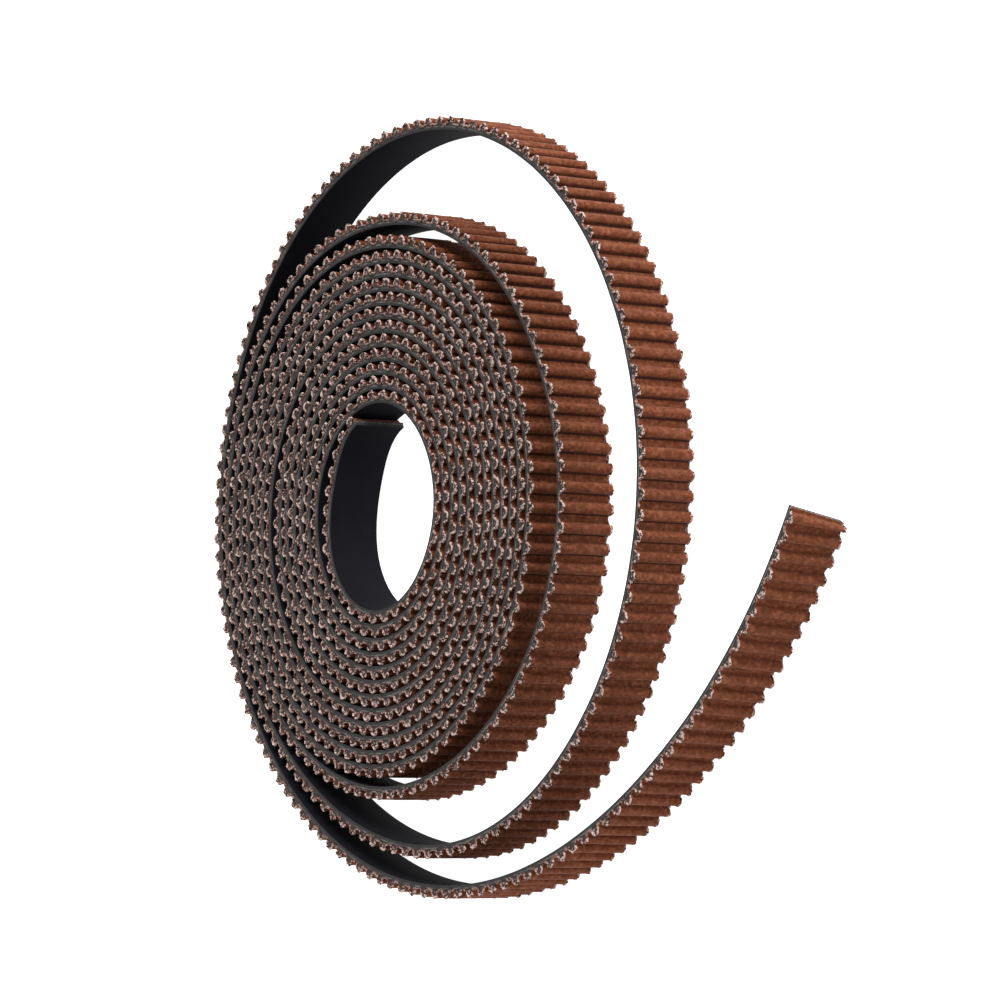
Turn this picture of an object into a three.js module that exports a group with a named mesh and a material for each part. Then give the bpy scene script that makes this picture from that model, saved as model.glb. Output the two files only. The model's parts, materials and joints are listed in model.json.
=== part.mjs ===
// Open-ended timing belt: 2 mm pitch, 6 mm wide, about 2 m long, coiled with its teeth outward.
// Millimetres. The coil lies on its side: +Z is its axis, and z = 0 is the cut edge that it rests on.
import * as THREE from "three";

// Belt section. Heights run from the smooth back towards the tooth tips.
const PITCH = 2;
const WIDTH = 6;
const LAND = 0.63;
const TOOTH = 0.75;
const CORD_LINE = 0.376;
const CORD = 0.2;
const FACING = 0.08;
const BOND = 0.03; // clearance kept between layers that are bonded on the real belt

// Half tooth: distance from the tooth's middle, and height above the land, from the root to the tip.
const HALF_TOOTH = [[0.66, 0], [0.5, 0.3], [0.34, 0.62], [0, TOOTH]];

// Coil: a spiral whose radius, at the cord line, grows by TURN_PITCH in each turn.
const CORE_RADIUS = 9.59;
const TURN_PITCH = 1.466;
const OVAL = 0.2;
const START_ANGLE = 112.5;

// On the left the turns press closer, except for one open seam after seam turn.
const PRESS = 0.05;
const SEAM = 0.65;
const SEAM_TURN = 7;

// How far the belt stands off that spiral, at stations STATION degrees apart.
const STATION = 30;
const INNER_END_ANGLE = 90;
const INNER_END = [-0.2, 0.4, -1.3, -1.3, -0.6, -0.1, 0.1, 0, -0.2, 0, -0.1];
const LOOSE_ANGLE = 4410;
const LOOSE = [
  0.1, 0.7, 0.3, 0, 0, 0, 0.8, 1.5, 3.1, 4.2, 2.8, 2, 0.7, 1.3, 0.6, 0, 0, 0.5, 3.6, 9.2,
  13.2, 15.8, 15, 12.2, 8.2, 3.6, 0.9, 0, 0, 1.5, 5.7, 12.2, 21.7, 38.4, 55.1, 71.8,
];

// The end of the tail leans: its upper edge turns towards the coil, and the last pitch is flat.
const LEAN_START = 1958;
const LEAN_END = 2010;
const LEAN_SPAN = 56;
const LEAN = 9; // degrees, LEAN_SPAN past LEAN_START
const LEAN_GROWTH = 1.5;

// Stretches of the belt, counted in teeth from the inner end.
const COIL_TEETH = 726;
const INNER_LOOP_TEETH = 95;
const OUTER_LOOP_TEETH = 125;
const LINK_TEETH = 10;
const LINKS = 6;
const LINK_GAP = 0.3; // flex gap between two links of the tail, in the middle of a land

const COIL_STEP = 20;
const LOOP_STEP = 10;

const LAYER_MATERIALS = {
  backing: { color: 0x1f2024, roughness: 0.55, metalness: 0 },
  cords: { color: 0xcfc7b4, roughness: 0.5, metalness: 0 },
  teeth: { color: 0x2b2a2a, roughness: 0.8, metalness: 0 },
  facing: { color: 0x83452f, roughness: 0.9, metalness: 0 },
};

// Uniform cubic B-spline through a list of stand-offs, zero outside the list.
function standOff(list, firstAngle, angle) {
  const place = (angle - firstAngle) / STATION;
  const i = Math.floor(place);
  const t = place - i;
  const at = (k) => list[k] ?? 0;
  const a = (1 - t) ** 3;
  const b = 3 * t ** 3 - 6 * t ** 2 + 4;
  const c = -3 * t ** 3 + 3 * t ** 2 + 3 * t + 1;
  return (a * at(i - 1) + b * at(i) + c * at(i + 1) + t ** 3 * at(i + 2)) / 6;
}

// Radius of the cord line at a total angle in degrees, counted outward from +X.
function routeRadius(angle) {
  const turn = Math.floor(angle / 360);
  const phi = THREE.MathUtils.degToRad(angle);
  const left = Math.max(0, -Math.cos(phi)) ** 2;
  const seam = turn >= SEAM_TURN ? SEAM : 0;
  const spiral = CORE_RADIUS + (TURN_PITCH * angle) / 360 - OVAL * Math.cos(2 * phi);
  return spiral + left * (seam - PRESS * turn)
    + standOff(INNER_END, INNER_END_ANGLE, angle) + standOff(LOOSE, LOOSE_ANGLE, angle);
}

function routePoint(angle) {
  const phi = THREE.MathUtils.degToRad(angle);
  return new THREE.Vector2(Math.cos(phi), Math.sin(phi)).multiplyScalar(routeRadius(angle));
}

// Length along the cord line at every half degree, and the angle at a given length.
const HALF_DEGREES = 10600;
const lengths = [0];
for (let i = 1; i <= HALF_DEGREES; i++) {
  const from = routePoint(START_ANGLE + (i - 1) / 2);
  lengths.push(lengths[i - 1] + from.distanceTo(routePoint(START_ANGLE + i / 2)));
}

function angleAt(length) {
  let i = 1;
  while (lengths[i] < length) i++;
  const part = (length - lengths[i - 1]) / (lengths[i] - lengths[i - 1]);
  return START_ANGLE + (i - 1 + part) / 2;
}

// A point of the belt: length from the inner end, height above the back, across from the lower edge.
function beltPoint(length, height, across) {
  const angle = angleAt(length);
  const ahead = routePoint(angle + 0.05).sub(routePoint(angle - 0.05)).normalize();
  const outward = new THREE.Vector2(ahead.y, -ahead.x);
  const leaning = Math.max(0, Math.min(length, LEAN_END) - LEAN_START) / LEAN_SPAN;
  const lean = THREE.MathUtils.degToRad(LEAN) * leaning ** LEAN_GROWTH;
  const off = (height - CORD_LINE) * Math.cos(lean) - (across - WIDTH / 2) * Math.sin(lean);
  const up = across * Math.cos(lean) + height * Math.sin(lean);
  const foot = routePoint(angle).addScaledVector(outward, off);
  return new THREE.Vector3(foot.x, foot.y, up);
}

// A closed band between two rows of [length, height] points, as wide as the belt.
function band(inner, outer) {
  const rim = [...outer, ...inner.reverse()];
  const lower = rim.map(([length, height]) => beltPoint(length, height, 0));
  const upper = rim.map(([length, height]) => beltPoint(length, height, WIDTH));
  const flat = lower.map((point) => new THREE.Vector2(point.x, point.y));
  const index = [];
  for (const [a, b, c] of THREE.ShapeUtils.triangulateShape(flat, [])) {
    index.push(c, b, a);
    index.push(a + rim.length, b + rim.length, c + rim.length);
  }
  for (let i = 0; i < rim.length; i++) {
    const next = (i + 1) % rim.length;
    index.push(i, next, next + rim.length);
    index.push(i, next + rim.length, i + rim.length);
  }
  const geometry = new THREE.BufferGeometry().setFromPoints([...lower, ...upper]);
  geometry.setIndex(index);
  return geometry;
}

// Stations of a plain stretch: its ends, and whole steps from the inner end's angle between them.
function plainStations(from, to, step) {
  const steps = (length) => (angleAt(length) - START_ANGLE) / step;
  const stations = [from];
  for (let k = Math.ceil(steps(from) + 0.1); k < steps(to) - 0.1; k++) {
    stations.push(lengths[2 * step * k]);
  }
  return [...stations, to];
}

// The four layers of a plain stretch, whose teeth are one band of the same height.
function plainLayers(from, to, step) {
  const stations = plainStations(from, to, step);
  const row = (height) => stations.map((length) => [length, height]);
  const tip = LAND + TOOTH;
  return {
    backing: band(row(0), row(CORD_LINE - CORD / 2 - BOND)),
    cords: band(row(CORD_LINE - CORD / 2), row(CORD_LINE + CORD / 2)),
    teeth: band(row(CORD_LINE + CORD / 2 + BOND), row(tip - FACING - BOND)),
    facing: band(row(tip - FACING), row(tip)),
  };
}

// Tooth outline, drawn in by inset along its own normals, as [length along the belt, height] points.
function toothRow(from, teeth, inset) {
  const half = HALF_TOOTH.map(([x, y], i) => {
    const shrink = inset * (i === HALF_TOOTH.length - 1 ? 0 : 0.75);
    return [x - shrink, LAND + y - inset];
  });
  const tooth = [...half.map(([x, y]) => [-x, y]), ...half.slice(0, -1).reverse()];
  const points = [];
  for (let k = 0; k < teeth; k++) {
    points.push(...tooth.map(([x, y]) => [from + PITCH * (k + 0.5) + x, y]));
  }
  return points;
}

// The four layers of a toothed link, cut back by half the flex gap at both ends.
function linkLayers(from, startGap, endGap) {
  const start = from + startGap / 2;
  const end = from + LINK_TEETH * PITCH - endGap / 2;
  const lands = Array.from({ length: LINK_TEETH - 1 }, (_, k) => from + PITCH * (k + 1));
  const stations = [start, ...lands, end];
  const row = (height) => stations.map((length) => [length, height]);
  const outline = (inset) => {
    const land = LAND - inset;
    return [[start, land], ...toothRow(from, LINK_TEETH, inset), [end, land]];
  };
  return {
    backing: band(row(0), row(CORD_LINE - CORD / 2 - BOND)),
    cords: band(row(CORD_LINE - CORD / 2), row(CORD_LINE + CORD / 2)),
    teeth: band(row(CORD_LINE + CORD / 2 + BOND), outline(FACING + BOND)),
    facing: band(outline(FACING), outline(0)),
  };
}

function addStretch(group, name, layers) {
  for (const [layer, geometry] of Object.entries(layers)) {
    const mesh = new THREE.Mesh(geometry, new THREE.MeshStandardMaterial(LAYER_MATERIALS[layer]));
    mesh.name = `${name}_${layer}`;
    group.add(mesh);
  }
}

function buildBelt() {
  const belt = new THREE.Group();
  const coilEnd = COIL_TEETH * PITCH;
  const innerLoopEnd = coilEnd + INNER_LOOP_TEETH * PITCH;
  const outerLoopEnd = innerLoopEnd + OUTER_LOOP_TEETH * PITCH;
  addStretch(belt, "coil", plainLayers(0, coilEnd - BOND, COIL_STEP));
  addStretch(belt, "inner_loop", plainLayers(coilEnd + BOND, innerLoopEnd - BOND, LOOP_STEP));
  addStretch(belt, "outer_loop", plainLayers(innerLoopEnd + BOND, outerLoopEnd - LINK_GAP / 2, LOOP_STEP));
  for (let k = 0; k < LINKS; k++) {
    const from = outerLoopEnd + k * LINK_TEETH * PITCH;
    addStretch(belt, `tail_${k + 1}`, linkLayers(from, LINK_GAP, k < LINKS - 1 ? LINK_GAP : 0));
  }
  return belt;
}

const belt = buildBelt();
const middle = new THREE.Box3().setFromObject(belt).getCenter(new THREE.Vector3());
belt.position.set(-middle.x, -middle.y, 0);

export default belt;
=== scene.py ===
"""Looks of an open-ended timing belt in a loose coil: russet toothed face, black back, frayed edges."""

import json
import math

import bpy
import numpy as np
from mathutils import Matrix, Vector


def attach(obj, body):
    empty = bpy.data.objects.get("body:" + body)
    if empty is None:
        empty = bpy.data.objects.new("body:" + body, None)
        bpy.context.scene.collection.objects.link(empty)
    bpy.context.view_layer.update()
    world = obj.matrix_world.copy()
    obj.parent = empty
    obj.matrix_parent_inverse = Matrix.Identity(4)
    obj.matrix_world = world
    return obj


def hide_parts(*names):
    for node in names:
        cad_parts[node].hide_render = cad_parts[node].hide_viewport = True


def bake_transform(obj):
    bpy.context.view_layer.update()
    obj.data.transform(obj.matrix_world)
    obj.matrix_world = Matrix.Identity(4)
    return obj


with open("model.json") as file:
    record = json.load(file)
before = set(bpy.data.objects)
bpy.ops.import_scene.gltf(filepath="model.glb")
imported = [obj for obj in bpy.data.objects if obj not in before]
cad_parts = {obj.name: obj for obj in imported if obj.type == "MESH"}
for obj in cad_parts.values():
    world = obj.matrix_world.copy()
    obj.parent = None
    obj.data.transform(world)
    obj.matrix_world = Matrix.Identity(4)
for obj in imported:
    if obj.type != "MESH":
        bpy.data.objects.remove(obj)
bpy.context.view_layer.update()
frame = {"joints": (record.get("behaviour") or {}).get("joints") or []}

MM = 0.001

# ---- Belt section, in millimetres. Heights run from the smooth back towards the tooth tips. ----
PITCH = 2.0
WIDTH = 6.0
LAND = 0.63
TOOTH = 0.75
CORD_LINE = 0.376
CORD = 0.2
CREST_RADIUS = 0.555
ROOT_RADIUS = 0.14
SKIN = 0.1              # the woven facing
FILM_BOTTOM = 0.47      # where the tooth rubber starts, just inside the backing
BACKING_TOP = 0.486
BACK_CORNER = 0.07
RUBBER_INSET = 0.02     # the cut rubber of the teeth lies this much inside the facing's edge
STRANDS = 9             # glass-fibre strands side by side, this far apart
STRAND_SPACING = 0.6
TOOTH_VARIATION = 0.03  # share by which tooth heights differ

# ---- Frayed edges, in millimetres ----
BEAD_RADIUS = 0.125
BEAD_VARIATION = 0.07
BEAD_SIDES = 5
FIBRE_RADIUS = 0.028
FIBRE_LENGTHS = (0.1, 0.26)

# ---- Route of the cord line, as in the CAD. Angles in degrees, counted outward from +X. ----
CORE_RADIUS = 9.59
TURN_PITCH = 1.466
OVAL = 0.2
START_ANGLE = 112.5
PRESS = 0.05
SEAM = 0.65
SEAM_TURN = 7
STATION = 30
INNER_END_ANGLE = 90
INNER_END = [-0.2, 0.4, -1.3, -1.3, -0.6, -0.1, 0.1, 0, -0.2, 0, -0.1]
LOOSE_ANGLE = 4410
LOOSE = [
    0.1, 0.7, 0.3, 0, 0, 0, 0.8, 1.5, 3.1, 4.2, 2.8, 2, 0.7, 1.3, 0.6, 0, 0, 0.5, 3.6, 9.2,
    13.2, 15.8, 15, 12.2, 8.2, 3.6, 0.9, 0, 0, 1.5, 5.7, 12.2, 21.7, 38.4, 55.1, 71.8,
]

# ---- The end of the tail leans: its upper edge turns towards the coil, and the last pitch is flat. ----
LEAN_START = 1958
LEAN_END = 2010
LEAN_SPAN = 56
LEAN = 9
LEAN_GROWTH = 1.5

# ---- The free end is cut askew: its two edges are this much shorter. ----
UPPER_SHORTER = 0.1
LOWER_SHORTER = 1.0

ROUTE_STEP = 0.5
ROUTE_END = 5414
AHEAD = 0.05

# ---- Stretches, counted in teeth from the inner end. ----
COIL_TEETH = 726
INNER_LOOP_TEETH = 95
OUTER_LOOP_TEETH = 125
LINK_TEETH = 10
LINKS = 6


def stand_off(values, first_angle, angle):
    """Uniform cubic B-spline through a list of stand-offs, zero outside the list."""
    padded = np.concatenate([np.zeros(3), values, np.zeros(3)])
    place = (angle - first_angle) / STATION
    i = np.floor(place).astype(int)
    t = place - i

    def at(k):
        return padded[np.clip(k + 3, 0, len(padded) - 1)]

    a = (1 - t) ** 3
    b = 3 * t**3 - 6 * t**2 + 4
    c = -3 * t**3 + 3 * t**2 + 3 * t + 1
    return (a * at(i - 1) + b * at(i) + c * at(i + 1) + t**3 * at(i + 2)) / 6


def route(angle):
    """Points of the cord line in the coil's own plane, in mm."""
    turn = np.floor(angle / 360)
    phi = np.radians(angle)
    left = np.maximum(0, -np.cos(phi)) ** 2
    seam = np.where(turn >= SEAM_TURN, SEAM, 0)
    radius = CORE_RADIUS + TURN_PITCH * angle / 360 - OVAL * np.cos(2 * phi) + left * (seam - PRESS * turn)
    radius = radius + stand_off(INNER_END, INNER_END_ANGLE, angle) + stand_off(LOOSE, LOOSE_ANGLE, angle)
    return np.stack([radius * np.cos(phi), radius * np.sin(phi)], -1)


route_angles = np.arange(START_ANGLE, ROUTE_END, ROUTE_STEP)
route_steps = np.linalg.norm(np.diff(route(route_angles), axis=0), axis=1)
route_lengths = np.concatenate([[0], np.cumsum(route_steps)])

COIL_END = COIL_TEETH * PITCH
INNER_LOOP_END = COIL_END + INNER_LOOP_TEETH * PITCH
OUTER_LOOP_END = INNER_LOOP_END + OUTER_LOOP_TEETH * PITCH
LINK = LINK_TEETH * PITCH
BELT_END = OUTER_LOOP_END + LINKS * LINK

# The first hinge of the tail says where the coil's middle lies in the frame.
first_hinge = np.array(frame["joints"][0]["pos_m"][:2])
hinge_place = route(np.interp(OUTER_LOOP_END, route_lengths, route_angles))
COIL_MIDDLE = first_hinge - hinge_place * MM


def smooth_noise(seed, place, spacing):
    """Smooth random values from -1 to 1 along the belt, with one knot every spacing."""
    place = np.asarray(place, float)
    knots = np.random.default_rng(seed).uniform(-1, 1, int(BELT_END / spacing) + 8)
    at = np.clip(place / spacing + 2, 0, len(knots) - 2)
    i = np.floor(at).astype(int)
    t = at - i
    t = t * t * (3 - 2 * t)
    return knots[i] * (1 - t) + knots[i + 1] * t


def lift(along):
    """The small sideways play of the turns, in mm."""
    return 0.07 + 0.05 * smooth_noise(3, along, 37) + 0.02 * smooth_noise(4, along, 9)


def belt_points(places):
    """Frame points, in metres, of (along, height, across) places in mm."""
    along, height, across = places[..., 0], places[..., 1], places[..., 2]
    shorter = LOWER_SHORTER + across / WIDTH * (UPPER_SHORTER - LOWER_SHORTER)
    along = along - shorter * np.clip((along - LEAN_END) / PITCH, 0, 1)
    angle = np.interp(along, route_lengths, route_angles)
    ahead = route(angle + AHEAD) - route(angle - AHEAD)
    ahead /= np.linalg.norm(ahead, axis=-1, keepdims=True)
    outward = np.stack([ahead[..., 1], -ahead[..., 0]], -1)
    leaning = (np.clip(along, LEAN_START, LEAN_END) - LEAN_START) / LEAN_SPAN
    lean = math.radians(LEAN) * leaning**LEAN_GROWTH
    off = (height - CORD_LINE) * np.cos(lean) - (across - WIDTH / 2) * np.sin(lean)
    up = across * np.cos(lean) + height * np.sin(lean) + lift(along)
    flat = (route(angle) + outward * off[..., None]) * MM + COIL_MIDDLE
    return np.concatenate([flat, up[..., None] * MM], -1)


def belt_point(along, height=CORD_LINE, across=WIDTH / 2):
    return belt_points(np.array([along, height, across], float))


# ---- Tooth outline ----
def outline(inset, crest_steps, root_steps):
    """One pitch of the toothed face, from a land's middle, as rows of (along, height above the land)."""
    root = np.radians(np.linspace(-90, 0, root_steps + 1))
    crest = np.radians(np.linspace(180, 90, crest_steps + 1))
    root_reach = ROOT_RADIUS + inset
    crest_reach = CREST_RADIUS - inset
    root_along = root_reach * np.cos(root) - CREST_RADIUS - ROOT_RADIUS
    root_height = ROOT_RADIUS + root_reach * np.sin(root)
    crest_along = crest_reach * np.cos(crest)
    crest_height = TOOTH - CREST_RADIUS + crest_reach * np.sin(crest)
    rise = np.concatenate([
        [[-PITCH / 2, -inset]],
        np.stack([root_along, root_height], -1),
        np.stack([crest_along, crest_height], -1),
    ])
    fall = rise[1:-1][::-1] * [-1, 1]
    return np.concatenate([rise, fall]) + [PITCH / 2, 0]


def toothed_row(first_tooth, teeth, inset, detail):
    """The toothed face over several teeth as (along, height) rows, ending at the last land's middle."""
    crest_steps, root_steps = detail
    pitch_row = outline(inset, crest_steps, root_steps)
    numbers = np.arange(first_tooth, first_tooth + teeth)
    draws = np.random.default_rng(11).uniform(-1, 1, int(BELT_END / PITCH) + 1)
    height_change = 1 + TOOTH_VARIATION * draws[numbers]
    along = (numbers[:, None] * PITCH + pitch_row[None, :, 0]).reshape(-1)
    above = np.where(pitch_row[:, 1] > 0, pitch_row[:, 1], 0) * height_change[:, None]
    below = np.minimum(pitch_row[:, 1], 0)
    height = LAND + (above + below).reshape(-1)
    end = (first_tooth + teeth) * PITCH
    return np.concatenate([np.stack([along, height], -1), [[end, LAND - inset]]])


def row_normals(row):
    """Unit normals of an (along, height) row, on the side of the tooth tips."""
    ahead = np.gradient(row, axis=0)
    ahead /= np.linalg.norm(ahead, axis=1, keepdims=True)
    return np.stack([-ahead[:, 1], ahead[:, 0]], -1)


# ---- Meshes ----
class BeltMesh:
    """Gathers places and faces of one piece, then makes its object."""

    def __init__(self):
        self.places = []
        self.faces = []
        self.slots = []
        self.count = 0

    def add(self, places, faces, slots=0):
        places = np.asarray(places, float).reshape(-1, 3)
        self.faces += [[i + self.count for i in face] for face in faces]
        self.slots += list(slots) if np.ndim(slots) else [slots] * len(faces)
        self.places.append(places)
        self.count += len(places)

    def loft(self, rings, side_slots=0, cap_slot=0):
        """A closed tube through rings of places, [station, corner, 3]."""
        stations, corners, _ = rings.shape
        here = np.arange(stations - 1)[:, None] * corners + np.arange(corners)
        beside = np.arange(stations - 1)[:, None] * corners + (np.arange(corners) + 1) % corners
        sides = np.stack([here, beside, beside + corners, here + corners], -1).reshape(-1, 4).tolist()
        slots = np.tile(np.broadcast_to(side_slots, corners), stations - 1).tolist()
        first = list(range(corners))[::-1]
        last = list(range((stations - 1) * corners, stations * corners))
        self.add(rings, sides + [first, last], slots + [cap_slot, cap_slot])

    def make(self, name, materials):
        places = np.concatenate(self.places)
        mesh = bpy.data.meshes.new(name)
        mesh.from_pydata(belt_points(places).tolist(), [], self.faces)
        attribute = mesh.attributes.new("belt_place", "FLOAT_VECTOR", "POINT")
        attribute.data.foreach_set("vector", places.astype(np.float32).reshape(-1))
        for material in materials:
            mesh.materials.append(material)
        mesh.polygons.foreach_set("material_index", self.slots)
        mesh.polygons.foreach_set("use_smooth", [True] * len(self.faces))
        mesh.set_sharp_from_angle(angle=math.radians(50))
        mesh.update()
        piece = bpy.data.objects.new(name, mesh)
        bpy.context.scene.collection.objects.link(piece)
        return piece


def ring_rows(stations, corners):
    """Rings of places for a tube of fixed section: corners are (height, across)."""
    rings = np.zeros((len(stations), len(corners), 3))
    rings[..., 0] = np.asarray(stations)[:, None]
    rings[..., 1:] = corners
    return rings


def make_back(name, start, end, materials):
    """Smooth back with its rounded corners, and the cut edges below the teeth."""
    corner = BACK_CORNER * (1 - math.sin(math.radians(45)))
    section = [
        (BACKING_TOP, WIDTH), (BACKING_TOP, 0),
        (CORD_LINE, 0), (BACK_CORNER, 0), (corner, corner), (0, BACK_CORNER),
        (0, WIDTH - BACK_CORNER), (corner, WIDTH - corner), (BACK_CORNER, WIDTH), (CORD_LINE, WIDTH),
    ]
    stations = np.linspace(start, end, int(round(end - start)) + 1)
    rings = ring_rows(stations, section)
    wander = 0.012 * smooth_noise(21, stations, 1.7)
    rings[:, 6:, 2] += wander[:, None]
    mesh = BeltMesh()
    mesh.loft(rings, side_slots=[1, 1, 1, 1, 0, 0, 0, 1, 1, 1], cap_slot=1)
    return mesh.make(name, materials)


def make_cords(name, start, end, materials):
    """The glass-fibre strands, bonded in the rubber and cut off flush at the belt's ends."""
    first = (WIDTH - (STRANDS - 1) * STRAND_SPACING) / 2
    stations = np.linspace(start, end, int(round((end - start) / PITCH)) + 1)
    around = np.radians(np.arange(0, 360, 90))
    mesh = BeltMesh()
    for k in range(STRANDS):
        across = first + k * STRAND_SPACING - CORD / 2 * np.sin(around)
        section = np.stack([CORD_LINE + CORD / 2 * np.cos(around), across], -1)
        mesh.loft(ring_rows(stations, section))
    return mesh.make(name, materials)


def make_teeth(name, first_tooth, teeth, detail, materials):
    """The rubber of the teeth, under the facing, with its cut edges."""
    row = toothed_row(first_tooth, teeth, SKIN, detail)
    low, high = RUBBER_INSET, WIDTH - RUBBER_INSET
    rings = np.zeros((len(row), 4, 3))
    rings[..., 0] = row[:, :1]
    rings[:, :2, 1] = row[:, 1:]
    rings[:, 2:, 1] = FILM_BOTTOM
    rings[..., 2] = [high, low, low, high]
    mesh = BeltMesh()
    mesh.loft(rings)
    return mesh.make(name, materials)


def make_facing(name, first_tooth, teeth, detail, across, materials):
    """The woven skin over teeth and lands, slightly uneven along each tooth."""
    outer = toothed_row(first_tooth, teeth, 0, detail)
    inner = toothed_row(first_tooth, teeth, SKIN, detail)
    normals = row_normals(outer)
    across = np.asarray(across, float)[::-1]
    rings = np.zeros((len(outer), len(across) + 2, 3))
    edge = np.minimum(across, WIDTH - across)
    droop = np.where(edge < 0.01, 0.035, 0)
    for j, place in enumerate(across):
        uneven = 0.016 * smooth_noise(40 + j, outer[:, 0], 1.3) - droop[j]
        rings[:, j, :2] = outer + normals * uneven[:, None]
        rings[:, j, 2] = place
    rings[:, -2:, :2] = inner[:, None]
    rings[:, -2:, 2] = [across[-1], across[0]]
    mesh = BeltMesh()
    mesh.loft(rings)
    return mesh.make(name, materials)


def add_fray(mesh, row, edge, out, seed, fibres):
    """A rough bead along the facing's cut edge, and loose fibres that stand off it."""
    rng = np.random.default_rng(seed)
    normals = row_normals(row)
    stations = len(row)
    thickness = BEAD_RADIUS + BEAD_VARIATION * rng.uniform(-1, 1, stations)
    stand = edge + out * (0.02 + 0.05 * rng.uniform(-1, 1, stations))
    middle = row - normals * (SKIN * 0.55) + rng.uniform(-0.03, 0.03, (stations, 2))
    around = np.radians(np.arange(0, 360, 360 / BEAD_SIDES))
    rings = np.zeros((stations, len(around), 3))
    rings[..., :2] = middle[:, None] + normals[:, None] * (thickness[:, None] * np.cos(around))[..., None]
    rings[..., 2] = stand[:, None] - thickness[:, None] * np.sin(around)
    mesh.loft(rings)

    count = int(fibres * (row[-1, 0] - row[0, 0]) / PITCH)
    root = rng.integers(1, stations - 1, count)
    base = np.concatenate([middle[root], stand[root][:, None]], 1)
    spread = rng.uniform(-1, 1, (count, 3))
    raised = normals[root] * rng.uniform(-0.4, 1.0, (count, 1))
    direction = np.concatenate([raised, np.full((count, 1), out)], 1) + 0.8 * spread
    direction /= np.linalg.norm(direction, axis=1, keepdims=True)
    tips = base + direction * rng.uniform(*FIBRE_LENGTHS, (count, 1))
    turned = np.cross(direction, rng.uniform(-1, 1, (count, 3)))
    turned /= np.linalg.norm(turned, axis=1, keepdims=True)
    third = np.cross(direction, turned)
    corners = [
        base + FIBRE_RADIUS * (math.cos(a) * turned + math.sin(a) * third)
        for a in np.radians([0, 120, 240])
    ]
    places = np.stack([*corners, tips], 1)
    faces = []
    for k in range(count):
        a, b, c, tip = range(4 * k, 4 * k + 4)
        faces += [[a, b, c], [a, tip, b], [b, tip, c], [c, tip, a]]
    mesh.add(places, faces)


def make_fray(name, first_tooth, teeth, detail, fibres, materials):
    row = toothed_row(first_tooth, teeth, 0, detail)
    mesh = BeltMesh()
    add_fray(mesh, row, WIDTH, 1, 100 + first_tooth, fibres)
    add_fray(mesh, row, 0, -1, 5000 + first_tooth, fibres)
    return mesh.make(name, materials)


# ---- Materials ----
class Shader:
    """A node material that reads the belt_place attribute: (along, height, across) in mm."""

    def __init__(self, name, roughness, **values):
        self.material = bpy.data.materials.new(name)
        self.material.use_nodes = True
        self.tree = self.material.node_tree
        self.bsdf = self.tree.nodes["Principled BSDF"]
        self.bsdf.inputs["Roughness"].default_value = roughness
        for socket, value in values.items():
            self.bsdf.inputs[socket.replace("_", " ")].default_value = value
        self.place = self.node("ShaderNodeAttribute", attribute_name="belt_place").outputs["Vector"]

    def node(self, kind, inputs=None, **settings):
        made = self.tree.nodes.new(kind)
        for key, value in settings.items():
            setattr(made, key, value)
        for socket, value in (inputs or {}).items():
            if isinstance(value, bpy.types.NodeSocket):
                self.tree.links.new(value, made.inputs[socket])
            else:
                made.inputs[socket].default_value = value
        return made

    def math(self, operation, a, b=0.0):
        return self.node("ShaderNodeMath", {0: a, 1: b}, operation=operation).outputs[0]

    def scaled(self, factors):
        return self.node("ShaderNodeVectorMath", {0: self.place, 1: factors}, operation="MULTIPLY").outputs[0]

    def noise(self, factors, detail=3.0, roughness=0.6):
        """Noise with so many features per mm along, in height and across."""
        settings = {"Vector": self.scaled(factors), "Scale": 1.0, "Detail": detail, "Roughness": roughness}
        return self.node("ShaderNodeTexNoise", settings).outputs["Fac"]

    def between(self, value, low, high):
        """value spread from 0 at low to 1 at high."""
        settings = {"Value": value, "From Min": low, "From Max": high}
        return self.node("ShaderNodeMapRange", settings).outputs["Result"]

    def mix(self, share, first, second, blend="MIX"):
        made = self.tree.nodes.new("ShaderNodeMix")
        made.data_type = "RGBA"
        made.blend_type = blend
        for socket, value in (("Factor_Float", share), ("A_Color", first), ("B_Color", second)):
            target = next(s for s in made.inputs if s.identifier == socket)
            if isinstance(value, bpy.types.NodeSocket):
                self.tree.links.new(value, target)
            elif socket == "Factor_Float":
                target.default_value = value
            else:
                target.default_value = (*value, 1)
        return next(s for s in made.outputs if s.identifier == "Result_Color")

    def finish(self, colour, roughness=None, height=None, bump=0.3, distance=0.00002):
        self.tree.links.new(colour, self.bsdf.inputs["Base Color"])
        if roughness is not None:
            self.tree.links.new(roughness, self.bsdf.inputs["Roughness"])
        if height is not None:
            settings = {"Height": height, "Strength": bump, "Distance": distance}
            made = self.node("ShaderNodeBump", settings)
            self.tree.links.new(made.outputs["Normal"], self.bsdf.inputs["Normal"])
        return self.material


def back_rubber():
    """Smooth, nearly black, with a fine matt grain and faint lengthwise rubbing."""
    s = Shader("back_rubber", 0.7, Specular_IOR_Level=0.02)
    cloud = s.noise((0.25, 0.25, 0.4))
    grain = s.noise((9, 9, 9), detail=2)
    rub = s.noise((0.6, 3, 7), detail=2)
    colour = s.mix(cloud, (0.007, 0.007, 0.009), (0.010, 0.010, 0.013))
    rough = s.between(rub, -2.5, 1.4)
    return s.finish(colour, rough, grain, bump=0.25, distance=0.00001)


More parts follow.
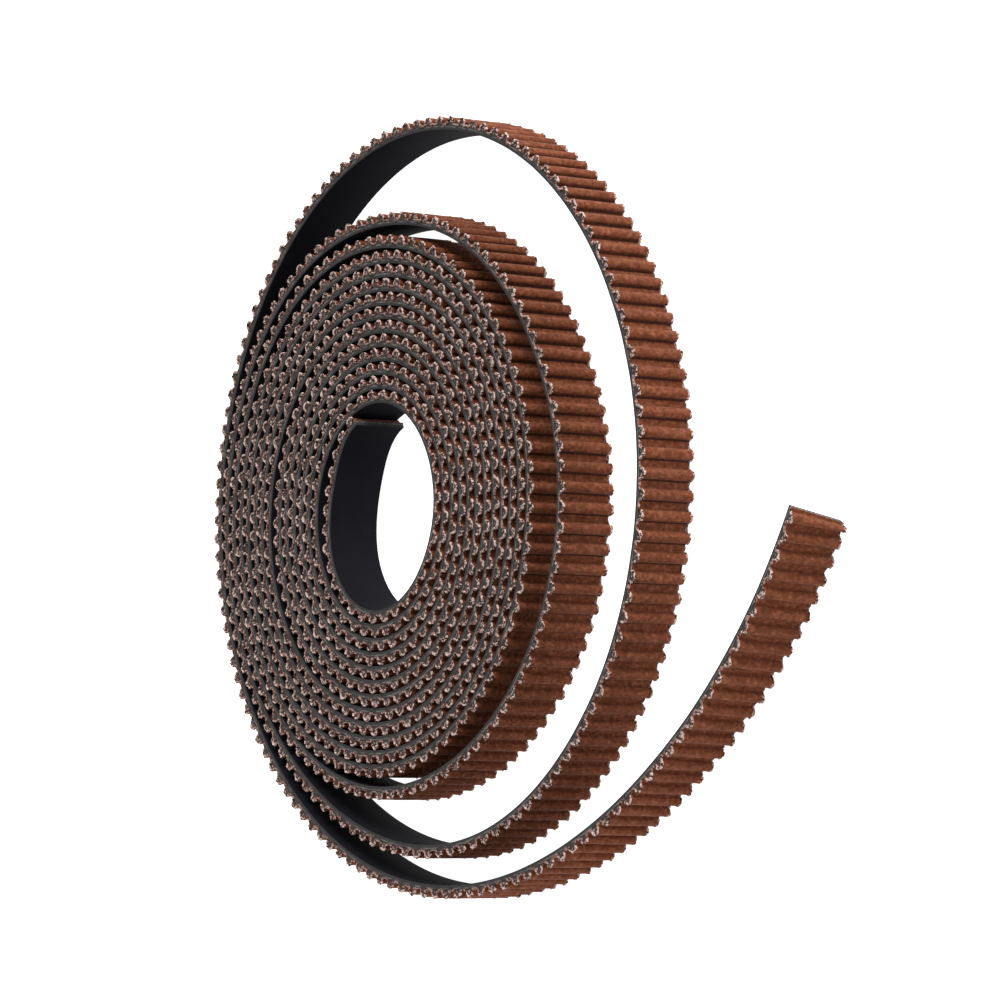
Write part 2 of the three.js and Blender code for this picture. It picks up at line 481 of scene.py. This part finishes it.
def cut_rubber():
    """Knife-cut rubber: dark grey, with the paler line where a cord lies at the edge."""
    s = Shader("cut_rubber", 0.75, Specular_IOR_Level=0.15)
    height = s.node("ShaderNodeSeparateXYZ", {0: s.place}).outputs[1]
    off_cord = s.math("ABSOLUTE", s.math("SUBTRACT", height, CORD_LINE))
    cord = s.between(off_cord, 0.12, 0.04)
    broken = s.between(s.noise((1.1, 4, 4), detail=3), 0.42, 0.66)
    knife = s.noise((1.2, 9, 9), detail=3)
    colour = s.mix(knife, (0.018, 0.0165, 0.017), (0.056, 0.051, 0.050))
    colour = s.mix(s.math("MULTIPLY", cord, broken), colour, (0.16, 0.155, 0.15))
    above = s.between(height, LAND - 0.1, LAND + 0.1)
    threads = s.noise((3.4, 3.4, 3.4), detail=2)
    colour = s.mix(s.math("MULTIPLY", above, s.between(threads, 0.5, 0.42)), colour, (0.085, 0.034, 0.022))
    colour = s.mix(s.math("MULTIPLY", above, s.between(threads, 0.56, 0.64)), colour, (0.42, 0.30, 0.26))
    return s.finish(colour, None, knife, bump=0.5, distance=0.00003)


def facing():
    """Russet woven nylon: fine weave, blotches, dark pores, painted shade along the tooth roots, and a change
    from tooth to tooth.
    """
    s = Shader("tooth_facing", 0.85, Specular_IOR_Level=0.12, Sheen_Weight=0.04, Sheen_Roughness=0.5)
    along = s.node("ShaderNodeSeparateXYZ", {0: s.place}).outputs[0]
    number = s.math("FLOOR", s.math("DIVIDE", along, PITCH))
    own = s.node("ShaderNodeTexWhiteNoise", {"W": number}, noise_dimensions="1D").outputs["Value"]
    blotch = s.noise((1.3, 1.3, 0.8), detail=4)
    grain = s.noise((2.8, 2.8, 2.2), detail=4)
    cells = {"Vector": s.scaled((2.3, 2.3, 1.7)), "Scale": 1.0}
    pores = s.node("ShaderNodeTexVoronoi", cells).outputs["Distance"]
    weave_along = s.math("SINE", s.math("MULTIPLY", along, 2 * math.pi / 0.16))
    across = s.node("ShaderNodeSeparateXYZ", {0: s.place}).outputs[2]
    weave_across = s.math("SINE", s.math("MULTIPLY", across, 2 * math.pi / 0.13))
    weave = s.math("MULTIPLY", weave_along, weave_across)
    colour = s.mix(s.between(blotch, 0.3, 0.7), (0.122, 0.0325, 0.0112), (0.180, 0.0520, 0.0218))
    colour = s.mix(s.math("MULTIPLY", s.between(grain, 0.5, 0.66), 0.7), colour, (0.055, 0.014, 0.004))
    colour = s.mix(s.math("MULTIPLY", s.between(grain, 0.47, 0.33), 0.6), colour, (0.28, 0.105, 0.058))
    colour = s.mix(s.math("MULTIPLY", own, 0.2), colour, (0.09, 0.025, 0.010))
    speck = s.math("MULTIPLY", s.between(pores, 0.24, 0.08), s.between(blotch, 0.42, 0.56))
    colour = s.mix(s.math("MULTIPLY", speck, 0.7), colour, (0.02, 0.004, 0.002))
    # Painted shade along the tooth roots: a strong dark line at the root on one side of each tooth, and a
    # faint one at the root on the other side.
    past_tip = s.math("SUBTRACT", s.math("MODULO", along, PITCH), PITCH / 2)
    root = CREST_RADIUS + ROOT_RADIUS / 2
    root_shade = s.between(s.math("ABSOLUTE", s.math("ADD", past_tip, root)), 0.13, 0.05)
    colour = s.mix(s.math("MULTIPLY", root_shade, 0.85), colour, (0.022, 0.004, 0.001))
    faint = s.between(s.math("ABSOLUTE", s.math("SUBTRACT", past_tip, root)), 0.14, 0.04)
    colour = s.mix(s.math("MULTIPLY", faint, 0.08), colour, (0.022, 0.004, 0.001))
    pitted = s.math("SUBTRACT", grain, s.math("MULTIPLY", speck, 1.5))
    height = s.math("ADD", s.math("MULTIPLY", weave, 0.3), pitted)
    return s.finish(colour, None, height, bump=0.6, distance=0.00003)


def fray():
    """Pale ends of the facing's threads in dots and dashes, with brown and dark gaps, and painted shade that
    dulls them in the lands.
    """
    s = Shader("frayed_edge", 0.9, Specular_IOR_Level=0.1, Sheen_Weight=0.05, Sheen_Roughness=0.5)
    height = s.node("ShaderNodeSeparateXYZ", {0: s.place}).outputs[1]
    dots = s.noise((3.6, 3.6, 3.6), detail=2)
    fine = s.noise((11, 11, 11), detail=2)
    # Painted shade: the pale thread ends keep their full strength on the teeth and drop to about a third in
    # the recessed lands.
    raised = s.between(height, LAND - 0.05, LAND + 0.35)
    land_shade_strength = s.math("ADD", s.math("MULTIPLY", raised, 0.65), 0.35)
    pale_and_land_shade = s.math("MULTIPLY", s.between(dots, 0.46, 0.54), land_shade_strength)
    colour = s.mix(s.between(dots, 0.36, 0.5), (0.020, 0.010, 0.008), (0.12, 0.042, 0.026))
    colour = s.mix(pale_and_land_shade, colour, (0.52, 0.37, 0.33))
    colour = s.mix(s.math("MULTIPLY", s.between(fine, 0.52, 0.7), pale_and_land_shade), colour, (0.85, 0.76, 0.70))
    return s.finish(colour, None, fine, bump=0.6, distance=0.00003)


def glass_cord():
    s = Shader("glass_cord", 0.5)
    fine = s.noise((20, 20, 20), detail=2)
    colour = s.mix(fine, (0.16, 0.15, 0.14), (0.34, 0.32, 0.29))
    return s.finish(colour, None, fine, bump=0.4, distance=0.00002)


BACK = back_rubber()
CUT = cut_rubber()
FACING = facing()
FRAY = fray()
GLASS = glass_cord()

# ---- The belt's pieces ----
COARSE = (3, 1)
FINE = (5, 2)
COIL_ACROSS = [0, 0.12, 3, WIDTH - 0.12, WIDTH]
LOOP_ACROSS = [0, 0.12, 0.7, 1.5, 2.4, 3.2, 4.0, 4.8, 5.4, WIDTH - 0.12, WIDTH]


def make_stretch(name, first_tooth, last_tooth, replaced, detail, across, fibres):
    """The five layers of one stretch of belt. replaced is the CAD stretch that they stand for."""
    start, end = first_tooth * PITCH, last_tooth * PITCH
    teeth = last_tooth - first_tooth
    span = (first_tooth, teeth, detail)
    back = make_back(f"{name}_back", start, end, [BACK, CUT])
    strands = make_cords(f"{name}_strands", start, end, [GLASS])
    rubber = make_teeth(f"{name}_tooth_rubber", *span, [CUT])
    skin = make_facing(f"{name}_skin", *span, across, [FACING])
    edges = make_fray(f"{name}_fray", *span, fibres, [FRAY])
    layers = [
        (back, "backing_rubber", "backing"),
        (strands, "tensile_cord", "cords"),
        (rubber, "tooth_rubber", "teeth"),
        (skin, "tooth_facing", "facing"),
        (edges, "tooth_facing", None),
    ]
    for piece, slot, node in layers:
        if replaced and node:
            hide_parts(f"{replaced}_{node}")
    return [piece for piece, _, _ in layers]


def make_belt():
    inner_loop = COIL_TEETH
    outer_loop = inner_loop + INNER_LOOP_TEETH
    tail = outer_loop + OUTER_LOOP_TEETH
    half = LINK_TEETH // 2
    fixed = make_stretch("coil", 0, inner_loop, "coil", COARSE, COIL_ACROSS, 5)
    fixed += make_stretch("inner_loop", inner_loop, outer_loop, "inner_loop", FINE, LOOP_ACROSS, 8)
    fixed += make_stretch("outer_loop", outer_loop, tail - half, "outer_loop", FINE, LOOP_ACROSS, 8)
    for piece in fixed:
        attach(piece, "coil_and_loops")
    before = "coil_and_loops"
    for k in range(1, LINKS + 1):
        first = tail - half + (k - 1) * LINK_TEETH
        pieces = make_stretch(f"bend_{k}", first, first + LINK_TEETH, f"tail_{k}", FINE, LOOP_ACROSS, 8)
        start, end = belt_point(first * PITCH), belt_point((first + LINK_TEETH) * PITCH)
        for piece in pieces:
            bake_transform(piece)
        before = f"tail_{k}"
    end_tooth = tail + LINKS * LINK_TEETH
    for piece in make_stretch("tail_end", end_tooth - half, end_tooth, None, FINE, LOOP_ACROSS, 8):
        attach(piece, before)


make_belt()

# ---- Camera: from above the coil's plane, rolled so that the frame's +Y is up in the picture ----
LENS = 158.5
SENSOR = 36
DISTANCE = 465.24
YAW, TILT, ROLL = 54.36, -3.31, 0.93
AIM_RIGHT, AIM_UP = 8.07, 1.32   # how far right of and above the coil's middle the camera aims, in mm


def camera_axes():
    yaw, tilt, roll = (math.radians(angle) for angle in (YAW, TILT, ROLL))
    back = Vector((math.sin(yaw) * math.cos(tilt), math.sin(tilt), math.cos(yaw) * math.cos(tilt)))
    level = Vector((0, 1, 0)).cross(back).normalized()
    rise = back.cross(level)
    right = math.cos(roll) * level + math.sin(roll) * rise
    up = -math.sin(roll) * level + math.cos(roll) * rise
    return right, up, back


RIGHT, UP, BACK_AXIS = camera_axes()
MIDDLE = Vector((*COIL_MIDDLE, 0))


def make_camera():
    data = bpy.data.cameras.new("camera")
    data.lens = LENS
    data.sensor_width = SENSOR
    camera = bpy.data.objects.new("camera", data)
    place = MIDDLE + MM * (DISTANCE * BACK_AXIS + AIM_RIGHT * RIGHT + AIM_UP * UP)
    camera.matrix_world = Matrix.Translation(place) @ Matrix((RIGHT, UP, BACK_AXIS)).transposed().to_4x4()
    bpy.context.scene.collection.objects.link(camera)
    bpy.context.scene.camera = camera


def make_light(name, right, up, back, size, power):
    """A soft light, placed by camera axes in metres from the coil's middle, and turned towards it."""
    data = bpy.data.lights.new(name, "AREA")
    data.shape = "DISK"
    data.size = size
    data.energy = power
    light = bpy.data.objects.new(name, data)
    place = MIDDLE + right * RIGHT + up * UP + back * BACK_AXIS
    turn = (place - MIDDLE).to_track_quat("Z", "Y").to_matrix().to_4x4()
    light.matrix_world = Matrix.Translation(place) @ turn
    bpy.context.scene.collection.objects.link(light)


def make_floor():
    bpy.ops.mesh.primitive_grid_add(x_subdivisions=2, y_subdivisions=2, size=4, location=(0, 0, -0.2 * MM))
    floor = bpy.context.object
    floor.name = "floor"
    material = bpy.data.materials.new("floor_white")
    material.use_nodes = True
    bsdf = material.node_tree.nodes["Principled BSDF"]
    bsdf.inputs["Base Color"].default_value = (0.9, 0.9, 0.9, 1)
    bsdf.inputs["Roughness"].default_value = 1
    bsdf.inputs["Emission Color"].default_value = (1, 1, 1, 1)
    bsdf.inputs["Emission Strength"].default_value = 1
    floor.data.materials.append(material)


def make_world():
    world = bpy.data.worlds.new("studio")
    world.use_nodes = True
    background = world.node_tree.nodes["Background"]
    background.inputs["Color"].default_value = (1, 1, 1, 1)
    background.inputs["Strength"].default_value = 0.62
    bpy.context.scene.world = world
    bpy.context.scene.view_settings.view_transform = "Standard"


make_camera()
make_floor()
make_world()
make_light("key", right=-0.15, up=0.7, back=0.45, size=0.5, power=8)
